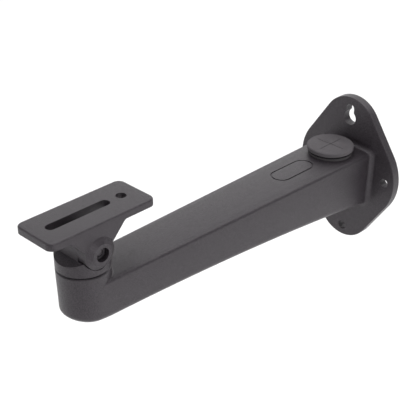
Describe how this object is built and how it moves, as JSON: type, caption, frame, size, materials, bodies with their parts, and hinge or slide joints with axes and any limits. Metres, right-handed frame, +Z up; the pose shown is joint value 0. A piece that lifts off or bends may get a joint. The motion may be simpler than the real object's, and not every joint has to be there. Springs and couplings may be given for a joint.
{
  "type": "camera wall bracket",
  "caption": "Wall bracket that carries a camera: lobed wall plate, hollow tapered arm with a cable grommet, and a slotted plate that pans and tilts at the end.",
  "frame": {"origin": "centre of the wall plate's back face, midway between the two side fixing holes", "axes": "+Y into the wall, so the arm reaches out along -Y; +X to the right; +Z up; pan axis along Z and tilt axis along X at the end of the arm"},
  "size_m": [0.103, 0.3454, 0.141],
  "materials": {
    "coated_casting": "satin charcoal powder coat on an aluminium casting",
    "grommet_rubber": "moulded charcoal rubber, matt",
    "plated_steel": "black zinc plating on turned steel",
    "friction_plastic": "black plastic sheet"
  },
  "bodies": {
    "arm": {"arm_casting": "coated_casting", "cable_grommet": "grommet_rubber", "pan_friction_washer": "friction_plastic"},
    "swivel": {"swivel_base": "coated_casting", "pan_screw": "plated_steel", "pan_spring_washer": "plated_steel", "pan_washer": "plated_steel"},
    "camera_mount": {"camera_plate": "coated_casting", "tilt_screw": "plated_steel", "tilt_spring_washer": "plated_steel", "tilt_nut": "plated_steel", "tilt_friction_washer_near": "friction_plastic", "tilt_friction_washer_far": "friction_plastic"}
  },
  "joints": [
    {"name": "pan", "type": "hinge", "parent": "arm", "child": "swivel", "pos_m": [0, -0.305, 0.0333], "axis": [0, 0, 1], "continuous": true},
    {"name": "tilt", "type": "hinge", "parent": "swivel", "child": "camera_mount", "pos_m": [0, -0.305, 0.0503], "axis": [1, 0, 0], "range_deg": [-45, 45]}
  ]
}
